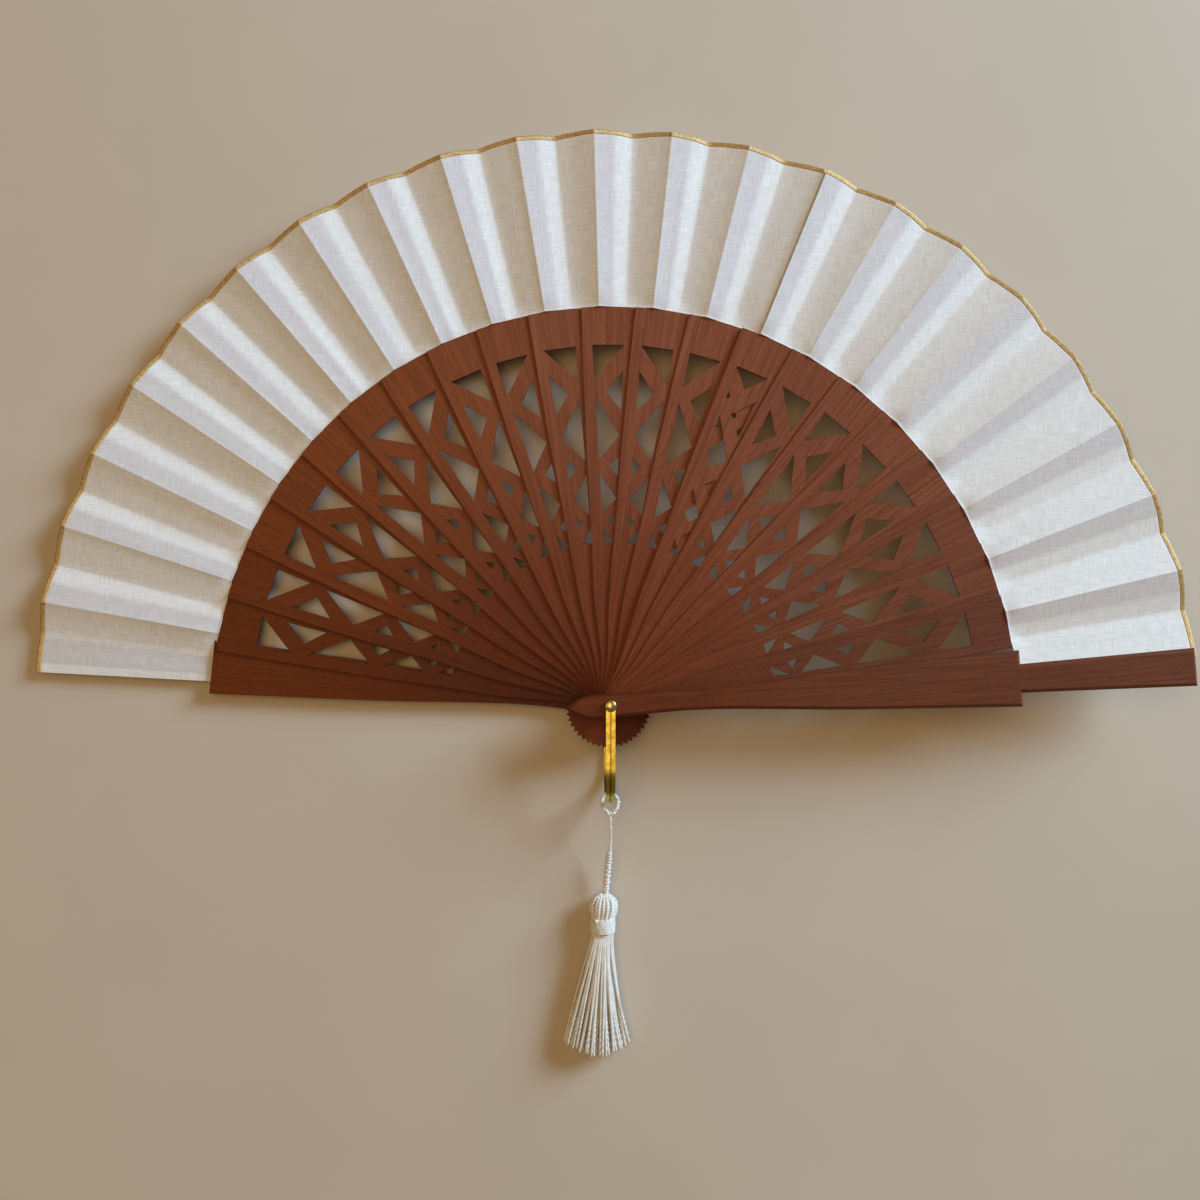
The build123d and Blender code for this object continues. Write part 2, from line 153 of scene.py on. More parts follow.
# The tassel. Distances along it are from the top of its head.
TASSEL_START = Vector((-0.0019, -0.0722, 0.0039))
TASSEL_LEAN = math.radians(-2.1)
TASSEL_LINE = Vector((math.sin(TASSEL_LEAN), -math.cos(TASSEL_LEAN), 0))
TASSEL_SIDE = Vector((math.cos(TASSEL_LEAN), math.sin(TASSEL_LEAN), 0))
BINDING_START = 8.5 * MM
BINDING_LENGTH = 6.1 * MM
SKIRT_START = 14.2 * MM
SKIRT_END = 59.8 * MM
SKIRT_TOP_RADIUS = 3.9 * MM

# A rope's strands at shares of its length: (share, strand radius, distance from the middle, pitch).
# The cord hangs thin and loose from the loop, and is doubled into a thick twist above the tassel.
CORD_STRANDS = [
    (0.0, 0.5 * MM, 0.45 * MM, 4.5 * MM),
    (0.08, 0.3 * MM, 0.42 * MM, 6.5 * MM),
    (0.45, 0.3 * MM, 0.4 * MM, 6.5 * MM),
    (0.6, 0.76 * MM, 0.58 * MM, 4.2 * MM),
    (0.92, 0.86 * MM, 0.66 * MM, 3.8 * MM),
    (1.0, 0.7 * MM, 0.55 * MM, 3.8 * MM),
]
LOOP_STRANDS = [(0.0, 0.55 * MM, 0.4 * MM, 3.6 * MM), (1.0, 0.55 * MM, 0.4 * MM, 3.6 * MM)]

# Colours.
WOOD_DARK = (0.19, 0.05, 0.02)
WOOD_LIGHT = (0.305, 0.092, 0.04)
WOOD_BROAD = (0.23, 0.064, 0.026)
WOOD_PORE = (0.1, 0.026, 0.011)
PAINTED_SIDE_SHADE = (0.4, 0.34, 0.3)  # painted shade on the sticks' upright sides, for the dark shadow lines between them
CLOTH_THIN = (0.76, 0.745, 0.715)
CLOTH_THICK = (0.97, 0.96, 0.94)
SLIP_SHOW_THROUGH_AND_SHADE = (0.84, 0.8, 0.82)  # the cloth's darkening where a slip is behind it: partly its show-through, partly painted shade of that part of the pleat
GOLD_DEEP = (0.5, 0.29, 0.09)
GOLD_PALE = (0.76, 0.53, 0.23)
RIVET_BRASS = (0.76, 0.66, 0.29)
RIVET_DULL = (0.45, 0.36, 0.14)
SHACKLE_BRASS = (0.66, 0.57, 0.12)
SHACKLE_DULL = (0.48, 0.39, 0.085)
# Painted shade along the shackle's groove.
PAINTED_GROOVE_SHADE = (0.3, 0.21, 0.042)
THREAD_IVORY = (0.86, 0.82, 0.73)
THREAD_WHITE = (0.98, 0.97, 0.94)
THREAD_SHADE = (0.6, 0.52, 0.4)
FLOOR_DARK = (0.61, 0.52, 0.415)
FLOOR_LIGHT = (0.68, 0.58, 0.465)

# The room.
FLOOR_HEIGHT = cad_box[0].z
FLOOR_REACH = 2.0
WINDOW_PLACE = (1.407, 0.914, 0.79)
WINDOW_AIM = (0, 0.05, 0)
WINDOW_SIZE = 0.8
WINDOW_POWER = 32.4
WINDOW_COLOUR = (0.69, 0.98, 1.28)
CEILING_PLACE = (-0.3, 0.14, 1.57)
CEILING_AIM = (0, 0, 0)
CEILING_SIZE = 1.0
CEILING_POWER = 7.7
CEILING_COLOUR = (1.0, 0.67, 0.32)
ROOM_COLOUR = (1.0, 0.73, 0.43)
ROOM_STRENGTH = 0.13
CAMERA_PLACE = Vector((-0.0139, 0.02305, 0.46089))
CAMERA_AIM = Vector((-0.00327, 0.03922, 0))
CAMERA_LENS = 36.06  # the focal length in mm, on a sensor 36 mm wide


def rib_angle(number):
    spread_gaps = number - 1 if number < SHUT_RIB else number - 2
    return FIRST_RIB_ANGLE - RIB_SPREAD * spread_gaps


def rib_height(number):
    return RIB_MIDDLE + RIB_STEP * (number - 1)


def outward(angle):
    return Vector((math.cos(math.radians(angle)), math.sin(math.radians(angle)), 0))


# ---------------------------------------------------------------- meshes


def new_piece(name, points, faces, material, smooth=True, uv_maps=None):
    """A mesh piece. uv_maps names a list of (u, v) for each face corner."""
    mesh = bpy.data.meshes.new(name)
    mesh.from_pydata(points, [], faces)
    for map_name, corners in (uv_maps or {}).items():
        layer = mesh.uv_layers.new(name=map_name)
        for loop, place in zip(layer.data, corners):
            loop.uv = place
    for polygon in mesh.polygons:
        polygon.use_smooth = smooth
    mesh.materials.append(material)
    mesh.update()
    piece = bpy.data.objects.new(name, mesh)
    bpy.context.scene.collection.objects.link(piece)
    return piece


def frames_along(line):
    """A direction and two sideways directions at each point of a line, without sudden turns."""
    ahead = []
    for i in range(len(line)):
        before, after = line[max(i - 1, 0)], line[min(i + 1, len(line) - 1)]
        ahead.append((after - before).normalized())
    side = ahead[0].cross(Z_AXIS if abs(ahead[0].z) < 0.9 else Vector((1, 0, 0))).normalized()
    frames = []
    for direction in ahead:
        side = (side - direction * side.dot(direction)).normalized()
        frames.append((direction, side, direction.cross(side)))
    return frames


def add_tube(points, faces, line, radius_at, sides=8):
    """Adds a tube along a line. radius_at(share, angle) gives its outline at a share of its length."""
    first = len(points)
    count = len(line)
    for i, (place, (_, side, up)) in enumerate(zip(line, frames_along(line))):
        for j in range(sides):
            angle = 2 * math.pi * j / sides
            radius = radius_at(i / (count - 1), angle)
            points.append(place + (side * math.cos(angle) + up * math.sin(angle)) * radius)
    for i in range(count - 1):
        for j in range(sides):
            a, b = first + i * sides + j, first + i * sides + (j + 1) % sides
            faces.append((a, b, b + sides, a + sides))
    last = first + (count - 1) * sides
    faces.append(tuple(reversed(range(first, first + sides))))
    faces.append(tuple(range(last, last + sides)))


def two_ply(radius, length, pitch, phase=0.0):
    """The outline of a thread of two plies that twist round each other, with tapered ends."""

    def radius_at(share, angle):
        turn = 2 * math.pi * share * length / pitch + phase
        end = min(1.0, 0.55 + 30 * share, 0.55 + 30 * (1 - share))
        return radius * end * (0.77 + 0.31 * math.cos(2 * (angle - turn)))

    return radius_at


def curve_points(route, steps):
    """Points of the smooth NURBS line whose control points are route."""
    curve = new_curve("bare_route", route, steps)
    bare = bpy.data.objects.new("bare_route", curve)
    mesh = bpy.data.meshes.new_from_object(bare)
    line = [v.co.copy() for v in mesh.vertices]
    bpy.data.objects.remove(bare)
    bpy.data.meshes.remove(mesh)
    bpy.data.curves.remove(curve)
    return line


def new_curve(name, route, steps):
    curve = bpy.data.curves.new(name, "CURVE")
    curve.dimensions = "3D"
    spline = curve.splines.new("NURBS")
    spline.points.add(len(route) - 1)
    for point, place in zip(spline.points, route):
        point.co = (*place, 1)
    spline.order_u = 3
    spline.use_endpoint_u = True
    spline.resolution_u = steps
    return curve


def line_length(line):
    return sum((b - a).length for a, b in zip(line, line[1:]))


# ---------------------------------------------------------------- materials


class Surface:
    """A material with one Principled shader, and short calls for the nodes that feed it."""

    def __init__(self, name, **values):
        self.material = bpy.data.materials.new(name)
        self.material.use_nodes = True
        self.tree = self.material.node_tree
        self.tree.nodes.clear()
        self.shader = self.node("ShaderNodeBsdfPrincipled")
        output = self.node("ShaderNodeOutputMaterial")
        self.link(self.shader.outputs[0], output.inputs[0])
        for socket, value in values.items():
            self.shader.inputs[socket.replace("_", " ")].default_value = value

    def node(self, kind, **settings):
        made = self.tree.nodes.new(kind)
        for name, value in settings.items():
            setattr(made, name, value)
        return made

    def link(self, source, target):
        self.tree.links.new(source, target)

    def feed(self, target, value):
        """Links a socket, or sets a plain value."""
        if isinstance(value, bpy.types.NodeSocket):
            self.link(value, target)
        else:
            target.default_value = value

    def math(self, operation, a, b=0.0):
        made = self.node("ShaderNodeMath", operation=operation)
        self.feed(made.inputs[0], a)
        self.feed(made.inputs[1], b)
        return made.outputs[0]

    def ramp(self, value, low, high, to_low=0.0, to_high=1.0):
        """A smooth step from to_low to to_high, while the value goes from low to high."""
        made = self.node("ShaderNodeMapRange", interpolation_type="SMOOTHSTEP")
        for i, given in enumerate((value, low, high, to_low, to_high)):
            self.feed(made.inputs[i], given)
        return made.outputs[0]

    def noise(self, place, scale, detail=3.0, roughness=0.5):
        made = self.node("ShaderNodeTexNoise")
        self.link(place, made.inputs["Vector"])
        made.inputs["Scale"].default_value = scale
        made.inputs["Detail"].default_value = detail
        made.inputs["Roughness"].default_value = roughness
        return made.outputs[0]

    def place(self, move=(0, 0, 0), turn=0.0, stretch=(1, 1, 1), uv=None):
        """Object coordinates, or a UV map's, moved, turned about Z and stretched."""
        if uv:
            source = self.node("ShaderNodeUVMap", uv_map=uv).outputs[0]
        else:
            source = self.node("ShaderNodeTexCoord").outputs["Object"]
        turned = self.node("ShaderNodeMapping")
        turned.inputs["Location"].default_value = move
        turned.inputs["Rotation"].default_value = (0, 0, turn)
        self.link(source, turned.inputs[0])
        stretched = self.node("ShaderNodeVectorMath", operation="MULTIPLY")
        self.link(turned.outputs[0], stretched.inputs[0])
        stretched.inputs[1].default_value = stretch
        return stretched.outputs[0]

    def split(self, vector):
        made = self.node("ShaderNodeSeparateXYZ")
        self.link(vector, made.inputs[0])
        return made.outputs

    def mix(self, share, a, b, blend="MIX"):
        """Mixes two colours."""
        made = self.node("ShaderNodeMix", data_type="RGBA", blend_type=blend)
        self.feed(made.inputs[0], share)
        for target, value in ((made.inputs[6], a), (made.inputs[7], b)):
            self.feed(target, value if isinstance(value, bpy.types.NodeSocket) else (*value, 1))
        return made.outputs[2]

    def bump(self, height, distance, strength=1.0):
        made = self.node("ShaderNodeBump")
        made.inputs["Strength"].default_value = strength
        made.inputs["Distance"].default_value = distance
        self.link(height, made.inputs["Height"])
        self.link(made.outputs[0], self.shader.inputs["Normal"])


def wood_surface(name, angle, seed, tone, warmth, rivet_shade):
    """Oiled reddish wood with its grain along a stick that points at angle.

    Tone is its lightness. Warmth, up to 1, turns it from red to a golden brown, and the last argument,
    up to 1, deepens and widens the painted shade towards the rivet, where the sticks lie in each
    other's and the guard's shadow. Upright sides get painted shade too, for the shadow lines between
    the sticks."""
    wood = Surface(name, Specular_IOR_Level=0.2)
    tint = (tone, tone * (1 - 0.42 * warmth), tone * (1 - 0.95 * warmth**0.75))

    def shade(colour):
        return tuple(part * share for part, share in zip(colour, tint))

    # The grain is noise with few cells per metre along the stick and many across it.
    turn = math.radians(-angle)
    shift = (seed * 0.37, seed * 0.11, seed * 0.05)
    broad = wood.noise(wood.place(shift, turn, (6, 90, 90)), 1.0, 3.0)
    streaks = wood.noise(wood.place(shift, turn, (28, 900, 900)), 1.0, 4.0, 0.6)
    pores = wood.noise(wood.place(shift, turn, (480, 3800, 2600)), 1.0, 2.0)
    colour = wood.mix(wood.ramp(streaks, 0.3, 0.72), shade(WOOD_DARK), shade(WOOD_LIGHT))
    colour = wood.mix(wood.ramp(broad, 0.35, 0.7, 0.0, 0.45), colour, shade(WOOD_BROAD))
    pore_share = wood.ramp(pores, 0.57, 0.69, 0.0, 0.6)
    colour = wood.mix(pore_share, colour, shade(WOOD_PORE))
    reach = wood.node("ShaderNodeVectorMath", operation="LENGTH")
    wood.link(wood.place(), reach.inputs[0])
    # Painted shade: the wood darkens towards the rivet, where the sticks lie in each other's and the
    # guard's shadow.
    near_rivet = wood.ramp(reach.outputs["Value"], 15 * MM, (100 + 45 * rivet_shade) * MM, 1.0, 0.0)
    rivet_shade_tint = (0.87 - 0.34 * rivet_shade, 0.6 - 0.24 * rivet_shade, 0.34 - 0.04 * rivet_shade)
    colour = wood.mix(near_rivet, colour, rivet_shade_tint, "MULTIPLY")
    # Painted shade: faces that stand upright, the sticks' sides and edges, are darkened for the shadow
    # lines between the sticks.
    upright = wood.math("ABSOLUTE", wood.split(wood.node("ShaderNodeTexCoord").outputs["Normal"])[2])
    side_shade_share = wood.ramp(upright, 0.25, 0.6, 1.0, 0.0)
    colour = wood.mix(side_shade_share, colour, PAINTED_SIDE_SHADE, "MULTIPLY")
    wood.link(colour, wood.shader.inputs["Base Color"])
    wood.link(wood.ramp(streaks, 0.2, 0.8, 0.42, 0.58), wood.shader.inputs["Roughness"])
    wood.bump(wood.math("SUBTRACT", streaks, pore_share), 0.12 * MM, 0.5)
    return wood.material


def cloth_surface():
    """Plain-woven off-white cotton. Where the slips are behind it, it is a faint grey: partly their
    show-through, partly painted shade of that part of each pleat.

    The map weave is the place in mm. The map slip is how far it lies across the slip behind it, as a
    share, and along it, in mm."""
    cloth = Surface("leaf_cotton", Roughness=0.85, Sheen_Weight=0.15, Sheen_Roughness=0.5)
    across, along, _ = cloth.split(cloth.place(uv="weave"))
    thread = 2 * math.pi / 0.42  # threads are 0.42 mm apart
    warp = cloth.math("SINE", cloth.math("MULTIPLY", across, thread))
    weft = cloth.math("SINE", cloth.math("MULTIPLY", along, thread))
    weave = cloth.math("MULTIPLY", warp, weft)
    warp_slub = cloth.noise(cloth.place(stretch=(3.2, 0.16, 1), uv="weave"), 1.0, 4.0, 0.6)
    weft_slub = cloth.noise(cloth.place(stretch=(0.16, 3.2, 1), uv="weave"), 1.0, 4.0, 0.6)
    slub = cloth.math("ADD", warp_slub, weft_slub)
    share = cloth.split(cloth.place(uv="slip"))[0]
    # Painted shade together with show-through: the part of each pleat's front half over the slip is
    # darkened.
    behind = cloth.ramp(share, SLIP_SHARE - 0.14, SLIP_SHARE + 0.08, 1.0, 0.0)
    behind = cloth.math("MULTIPLY", behind, cloth.ramp(share, -0.05, 0.01))
    colour = cloth.mix(cloth.ramp(slub, 0.75, 1.25), CLOTH_THIN, CLOTH_THICK)
    colour = cloth.mix(behind, colour, SLIP_SHOW_THROUGH_AND_SHADE, "MULTIPLY")
    cloth.link(colour, cloth.shader.inputs["Base Color"])
    height = cloth.math("ADD", cloth.math("MULTIPLY", weave, 0.35), slub)
    cloth.bump(height, 0.06 * MM, 0.6)
    return cloth.material


def gold_surface():
    """The leaf's gold edging: a thin metallic ribbon, a little crinkled."""
    gold = Surface("gold_edging", Metallic=0.35)
    crinkle = gold.noise(gold.place(stretch=(0.9, 0.9, 1), uv="weave"), 1.0, 4.0, 0.65)
    colour = gold.mix(gold.ramp(crinkle, 0.3, 0.7), GOLD_DEEP, GOLD_PALE)
    gold.link(colour, gold.shader.inputs["Base Color"])
    gold.link(gold.ramp(crinkle, 0.2, 0.8, 0.42, 0.6), gold.shader.inputs["Roughness"])
    gold.bump(crinkle, 0.25 * MM, 0.5)
    return gold.material


def brass_surface(name, colour, dull, hammer, groove=0.0):
    """Polished brass with dull patches.

    hammer is the depth of its dents, and groove the width of the painted shade along its middle, for
    the shadow in its groove."""
    brass = Surface(name, Metallic=1.0)
    patches = brass.noise(brass.place(), 420.0, 4.0, 0.6)
    scratches = brass.noise(brass.place(stretch=(3000, 160, 3000)), 1.0, 2.0)
    tone = brass.mix(brass.ramp(patches, 0.35, 0.75), colour, dull)
    if groove:
        # Painted shade: a dark line along the middle, for the shadow in the groove.
        off_middle = brass.math("ABSOLUTE", brass.split(brass.place())[0])
        groove_shade_share = brass.ramp(off_middle, groove * 0.4, groove * 0.75, 1.0, 0.0)
        tone = brass.mix(groove_shade_share, tone, PAINTED_GROOVE_SHADE)
    brass.link(tone, brass.shader.inputs["Base Color"])
    patch_roughness = brass.ramp(patches, 0.3, 0.8, 0.16, 0.34)
    roughness = brass.math("ADD", patch_roughness, brass.math("MULTIPLY", scratches, 0.12))
    brass.link(roughness, brass.shader.inputs["Roughness"])
    brass.bump(brass.math("ADD", patches, brass.math("MULTIPLY", scratches, 0.08)), hammer, 0.6)
    return brass.material


def thread_surface():
    """Ivory viscose thread with a soft lengthwise sheen."""
    thread = Surface("tassel_viscose", Sheen_Weight=0.25, Sheen_Roughness=0.3)
    fibres = thread.noise(thread.place(stretch=(4200, 900, 4200)), 1.0, 3.0)
    tufts = thread.noise(thread.place(), 300.0, 3.0)
    colour = thread.mix(thread.ramp(tufts, 0.3, 0.7), THREAD_IVORY, THREAD_WHITE)
    colour = thread.mix(thread.ramp(fibres, 0.45, 0.75, 0.0, 0.4), colour, THREAD_SHADE)
    thread.link(colour, thread.shader.inputs["Base Color"])
    thread.link(thread.ramp(fibres, 0.3, 0.7, 0.3, 0.5), thread.shader.inputs["Roughness"])
    thread.bump(fibres, 0.08 * MM, 0.5)
    return thread.material


def floor_surface():
    floor = Surface("pale_floor", Roughness=0.9)
    mottle = floor.noise(floor.place(), 14.0, 3.0)
    floor.link(floor.mix(mottle, FLOOR_DARK, FLOOR_LIGHT), floor.shader.inputs["Base Color"])
    return floor.material


# ---------------------------------------------------------------- the sticks, rivet and shackle


def dress(node, material):
    """Gives a CAD node its material."""
    node_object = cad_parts[node]
    node_object.data.materials.clear()
    node_object.data.materials.append(material)


def dress_sticks():
    """The ribs in the middle of the fan are painted lightest, as if the light fell strongest there, and
    those at the left are more golden and get more painted shade towards the rivet.
    """
    draw = random.Random(7)
    guards = [
        ("rear_guard", REAR_GUARD_ANGLE, 31, 0.6, 1.0, 1.0),
        ("front_guard", FRONT_GUARD_ANGLE, 47, 0.66, 0.1, 0.0),
    ]
    for node, angle, seed, tone, warmth, rivet_shade in guards:
        dress(node, wood_surface(f"{node}_wood", angle, seed, tone, warmth, rivet_shade))
    for number in range(1, RIB_COUNT + 1):
        off_centre = (number - PAINTED_LIGHT_RIB) / RIB_COUNT
        # Painted light: lighter towards the middle rib. The random part is the wood's own tone.
        tone = draw.uniform(0.95, 1.05) * (1.08 - 2.0 * off_centre * off_centre)
        warmth = max(0.0, (GOLDEN_RIBS + 1 - number) / GOLDEN_RIBS)
        # The painted shade towards the rivet is deepest on the ribs lowest in the stack.
        rivet_shade = 1 - number / RIB_COUNT
        wood = wood_surface(f"rib_wood_{number:02d}", rib_angle(number), number, tone, warmth, rivet_shade)
        dress(f"rib_{number:02d}", wood)


def dress_metal():
    rivet = brass_surface("rivet_brass", RIVET_BRASS, RIVET_DULL, 0.3 * MM)
    shackle = brass_surface("shackle_brass", SHACKLE_BRASS, SHACKLE_DULL, 0.04 * MM, groove=0.6 * MM)
    dress("pivot_rivet", rivet)
    dress("shackle", shackle)


# ---------------------------------------------------------------- the leaf


class Fold:
    """A fold of the leaf, which runs straight out from the rivet."""

    def __init__(self, angle, height, rise=0.0, softness=0.0, inner=LEAF_INNER):
        self.direction = outward(angle)
        self.height = height
        self.rise = rise  # 1 on a ridge, -1 in a valley, 0 where the cloth is glued flat
        self.softness = softness
        self.inner = inner

    def at(self, share):
        """The fold's place, a share of the way from the leaf's inner to its outer edge."""
        radius = self.inner + (LEAF_OUTER - self.inner) * share
        grown = min(1.0, (radius - self.inner) / ROOT_LENGTH)
        relief = ROOT_RELIEF + (1 - ROOT_RELIEF) * grown * grown * (3 - 2 * grown)
        lift = self.rise * LEAF_RELIEF * relief * radius / LEAF_OUTER
        return self.direction * radius + Z_AXIS * (self.height + lift)


def ridge(number):
    # The shut pleat's upper ridge stands back a little, and shows the brown edge of its slip.
    offset = SHUT_RIDGE_OFFSET if number == SHUT_RIB else RIDGE_OFFSET
    return Fold(rib_angle(number) + offset, rib_height(number), 1)


def valley(number):
    return Fold(rib_angle(number) + VALLEY_OFFSET, rib_height(number), -1, VALLEY_SOFTNESS)


def ripple(place):
    """A small waviness of the cloth, the same at a place whichever panel it is on."""
    broad = noise.noise(Vector((place.x * 55, place.y * 55, 3.1)))
    fine = noise.noise(Vector((place.x * 160, place.y * 160, 7.7)))
    around = math.degrees(math.atan2(place.y, place.x))
    streak = noise.noise(Vector((around * 0.75, place.to_2d().length * 12, 1.3)))
    return RIPPLE * (broad + 0.4 * fine) + STREAK * streak


def is_pressed(folds):
    """Half of the shut pleat has only two folds, and lies pressed flat."""
    return len(folds) == 2


def cloth_row(folds, share):
    """The cloth's line across a panel. Ridges are creased, and valleys are soft bends."""
    pressed = is_pressed(folds)
    corners = [fold.at(share) for fold in folds]
    runs = [(b - a).to_2d().length for a, b in zip(corners, corners[1:])]
    slopes = [(b.z - a.z) / run for a, b, run in zip(corners, corners[1:], runs)]
    row = []
    for i, (a, b) in enumerate(zip(corners, corners[1:])):
        for step in FACET_STEPS[min(i, 1):]:
            place = a.lerp(b, step)
            middle = 4 * step * (1 - step)
            place += Vector((place.x, place.y, 0)).normalized() * SCALLOP * middle * share**6
            if folds[i + 1].rise > 0:
                place.z -= PLEAT_SAG * middle
            if folds[i].rise > 0 and not pressed:
                place.z += SLIP_LIFT * share * min(step / SLIP_SHARE, (1 - step) / (1 - SLIP_SHARE))
            for fold, away in ((folds[i], step * runs[i]), (folds[i + 1], (1 - step) * runs[i])):
                if fold.rise > 0:
                    place.z += CREASE_LIFT * max(0.0, 1 - away / CREASE_WIDTH)
            for j in range(1, len(folds) - 1):
                distance = abs(sum(runs[:j]) - sum(runs[:i]) - step * runs[i])
                bend = (slopes[j] - slopes[j - 1]) / 2
                place.z += bend * (math.hypot(distance, folds[j].softness) - distance)
            place.z += ripple(place) * (PRESSED_RIPPLE if pressed else 1)
            if not pressed:
                place.z += EDGE_CURL * max(0.0, 1 - share / EDGE_CURL_SHARE) ** 2
            row.append(place)
    return row


def cloth_grid(folds, shares):
    """Rows of points over a panel, at shares of its length."""
    return [cloth_row(folds, share) for share in shares]


def panel_piece(name, grid, low, high, material, slip_place):
    """A thin closed shell from a grid, from low to high above it, with its texture coordinates.

    slip_place(facet, step) says where a point lies across the slip behind the cloth."""
    rows, columns = len(grid), len(grid[0])
    points = [place + Z_AXIS * low for row in grid for place in row]
    points += [place + Z_AXIS * high for row in grid for place in row]
    top = rows * columns

    def at(i, j):
        return i * columns + j

    faces = []
    facets = []
    for i in range(rows - 1):
        for j in range(columns - 1):
            quad = (at(i, j), at(i + 1, j), at(i + 1, j + 1), at(i, j + 1))
            faces += [quad, tuple(top + k for k in reversed(quad))]
            facets += [j // FACET_CELLS] * 2
    rim = [at(0, j) for j in range(columns)]
    rim += [at(i, columns - 1) for i in range(1, rows)]
    rim += [at(rows - 1, j) for j in range(columns - 2, -1, -1)]
    rim += [at(i, 0) for i in range(rows - 2, 0, -1)]
    for corner, after in zip(rim, rim[1:] + rim[:1]):
        faces.append((corner, after, top + after, top + corner))
        facets.append(None)
    weave = []
    slip = []
    for face, facet in zip(faces, facets):
        for corner in face:
            place = points[corner]
            weave.append((place.x / MM, place.y / MM))
            across = OFF_SLIP
            if facet is not None:
                across = slip_place(facet, FACET_STEPS[corner % columns - facet * FACET_CELLS])
            slip.append((across, place.to_2d().length / MM))
    return new_piece(name, points, faces, material, uv_maps={"weave": weave, "slip": slip})


def over_slip(facet, step):
    """A pleat's front half lies on its rib's slip, which starts at the ridge."""
    return step if facet == 0 else OFF_SLIP


def over_rear_guard(facet, step):
    """The rear hem lies on the guard's slim part, except for a margin along its free side."""
    return SLIP_SHARE * (step - REAR_HEM_MARGIN) / REAR_HEM_BACKED if facet == 0 else OFF_SLIP


def off_slip(facet, step):
    """The gold edge and the shut pleat's upper half have no slip right behind them."""
    return OFF_SLIP


def stick_body(number):
    """The body of a stick. The rear guard is number 0, and the front guard comes after the last rib."""
    if number == 0:
        return "rear_guard"
    return "front_guard" if number > RIB_COUNT else f"rib_{number:02d}"


def blend_across(piece):
    """Bakes a piece's placement into its mesh, and leaves it unbent."""
    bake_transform(piece)


def flat_size(folds):
    """A panel's width at its outer edge, its length and its area, laid flat."""
    widths = []
    for share in (0, 1):
        corners = [fold.at(share) for fold in folds]
        widths.append(sum((b - a).length for a, b in zip(corners, corners[1:])))
    length = LEAF_OUTER - max(fold.inner for fold in folds)
    return widths[1], length, sum(widths) / 2 * length


def leaf_panel(label, folds, before, cloth, gold, slip_place=over_slip, blended=True, lift=0.0):
    """One panel of the leaf with its gold edge. before is the number of the stick at its left."""
    grid = cloth_grid(folds, PANEL_ROWS)
    panel = panel_piece(f"leaf_cloth_{label}", grid, lift, lift + CLOTH_THICKNESS, cloth, slip_place)
    edge_grid = cloth_grid(folds, EDGE_ROWS)
    under, upper = (lift + above for above in BINDING_LIFTS)
    edge = panel_piece(f"gold_edge_{label}", edge_grid, under, upper, gold, off_slip)
    for piece in (panel, edge):
        if blended:
            blend_across(piece)
        else:
            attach(piece, stick_body(before))
    width, length, area = flat_size(folds)
    return panel


def make_leaf():
    """The pleats from left to right. A panel runs from one ridge through the valley to the next."""
    cloth = cloth_surface()
    gold = gold_surface()
    for gap in range(1, RIB_COUNT + 2):
        before = gap - 1
        label = f"{gap:02d}"
        if gap == 1:
            side, bend = REAR_HEM_ANGLES
            free_side = Fold(side, REAR_HEM_HEIGHT, inner=LEAF_INNER_AT_GUARDS)
            hem_bend = Fold(bend, REAR_HEM_HEIGHT, 0, VALLEY_SOFTNESS, LEAF_INNER_AT_GUARDS)
            panel = leaf_panel(label, [free_side, hem_bend, ridge(1)], 0, cloth, gold, over_rear_guard)
        elif gap == RIB_COUNT + 1:
            tuck = Fold(FRONT_TUCK_ANGLE, FRONT_TUCK_HEIGHT, inner=LEAF_INNER_AT_GUARDS)
            panel = leaf_panel(label, [ridge(before), valley(before), tuck], before, cloth, gold)
        elif gap == SHUT_RIB:
            lower = [ridge(before), valley(before)]
            panel = leaf_panel(label, lower, before, cloth, gold, blended=False, lift=SHUT_LOWER_LIFT)
            upper = [valley(before), ridge(gap)]
            leaf_panel(f"{label}_folded", upper, before, cloth, gold, off_slip, lift=SHUT_UPPER_LIFT)
        else:
            panel = leaf_panel(label, [ridge(before), valley(before), ridge(gap)], before, cloth, gold)
        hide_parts(f"leaf_{label}")


# ---------------------------------------------------------------- the tassel


def sizes_at(table, share):
    """The row of sizes at a share of the way along a table."""
    for before, after in zip(table, table[1:]):
        if share <= after[0]:
            mix = (share - before[0]) / (after[0] - before[0])
            return [a + (b - a) * mix for a, b in zip(before[1:], after[1:])]
    return list(table[-1][1:])


def add_rope(points, faces, line, table):
    """Adds a rope of two twisted strands round a line."""
    length = line_length(line)
    frames = frames_along(line)
    step = 1 / (len(line) - 1)
    for strand in range(2):
        path = []
        turn = math.pi * strand
        for i, (place, (_, side, up)) in enumerate(zip(line, frames)):
            _, offset, pitch = sizes_at(table, i * step)
            path.append(place + (side * math.cos(turn) + up * math.sin(turn)) * offset)
            turn += 2 * math.pi * length * step / pitch
        twist = two_ply(1.0, length, 1.6 * MM, strand)

        def radius_at(share, angle):
            return sizes_at(table, share)[0] * twist(share, angle)

        add_tube(points, faces, path, radius_at, sides=10)


def tassel_piece(name, node, points, faces, thread):
    """A piece of thread that rides on the tassel's body and replaces a CAD node."""
    piece = new_piece(name, points, faces, thread)
    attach(piece, "tassel")
    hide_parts(node)
    return piece


def rope_piece(name, node, line, table, thread):
    points = []
    faces = []
    add_rope(points, faces, line, table)
    return tassel_piece(name, node, points, faces, thread)


def tassel_place(distance, sideways, up):
    """A place at a distance along the tassel, and to the side of its line and above it."""
    return TASSEL_START + TASSEL_LINE * distance + TASSEL_SIDE * sideways + Z_AXIS * up


